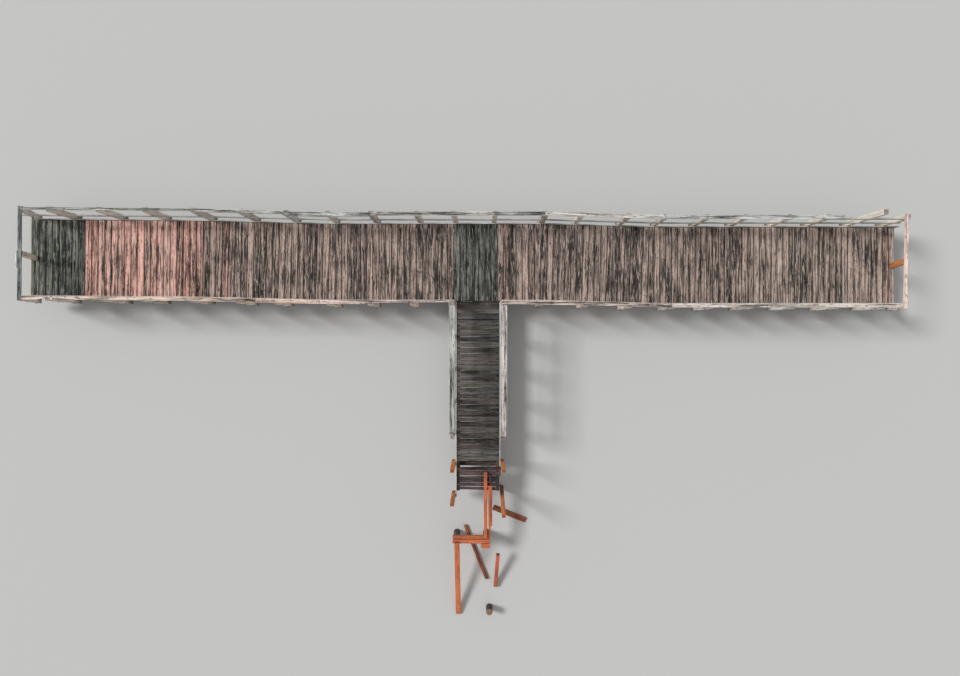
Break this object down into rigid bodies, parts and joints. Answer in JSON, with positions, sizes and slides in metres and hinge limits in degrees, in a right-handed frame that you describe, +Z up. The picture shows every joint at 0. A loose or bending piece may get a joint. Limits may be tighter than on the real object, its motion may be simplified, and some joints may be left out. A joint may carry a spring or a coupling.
{
  "type": "wooden jetty",
  "caption": "Weathered timber jetty: a long railed head on round piles, joined by a narrow railed walkway whose shore end has fallen into ruin.",
  "frame": {"origin": "under the middle of the whole jetty, at the water line where the piles end", "axes": "+X along the head to the right as seen from the shore, +Y out to the open water, +Z up"},
  "size_m": [20.239, 9.6178, 2.34],
  "materials": {
    "deck_board": "weathered grey sawn boards with open grain and lichen",
    "walkway_board": "dark grey brown weathered boards",
    "cap_plank": "silver white weathered planks, checked and frayed",
    "rail_board": "pale grey weathered boards",
    "post_timber": "weathered square posts, dark end grain",
    "under_timber": "damp dark sawn timber",
    "pile_log": "damp round logs with long checks",
    "shore_timber": "tan weathered timber"
  },
  "bodies": {
    "root": {"head_deck_left": "deck_board", "head_deck_middle": "deck_board", "head_deck_right": "deck_board", "head_deck_far_right": "deck_board", "head_joists": "under_timber", "head_bearers": "under_timber", "head_piles": "pile_log", "back_kerb": "rail_board", "front_left_kerb": "rail_board", "front_right_kerb": "rail_board", "walkway_sill": "deck_board", "back_let_in_rail": "rail_board", "back_posts": "post_timber", "tall_post": "post_timber", "front_left_posts": "post_timber", "front_right_posts": "post_timber", "back_mid_rail": "rail_board", "front_left_mid_rail": "rail_board", "front_right_mid_rail": "rail_board", "left_end_post": "post_timber", "right_end_post": "post_timber", "left_end_cap": "cap_plank", "right_end_cap": "cap_plank", "left_end_mid_rail": "rail_board", "left_end_splice": "cap_plank", "back_cap": "cap_plank", "front_left_cap": "cap_plank", "front_right_cap": "cap_plank", "walkway_deck": "walkway_board", "walkway_joists": "under_timber", "walkway_bearers": "under_timber", "walkway_piles": "pile_log", "walkway_kerbs": "rail_board", "walkway_left_posts": "post_timber", "walkway_right_posts": "post_timber", "walkway_mid_rails": "rail_board", "walkway_left_cap": "cap_plank", "walkway_right_cap": "cap_plank", "loose_boards": "walkway_board", "shore_crossbeam": "shore_timber", "shore_piles": "pile_log", "long_timbers": "shore_timber", "fallen_joist": "shore_timber", "leaning_post": "post_timber", "fallen_plank": "shore_timber", "pile_stub": "pile_log", "leaning_stake": "shore_timber"}
  },
  "joints": []
}
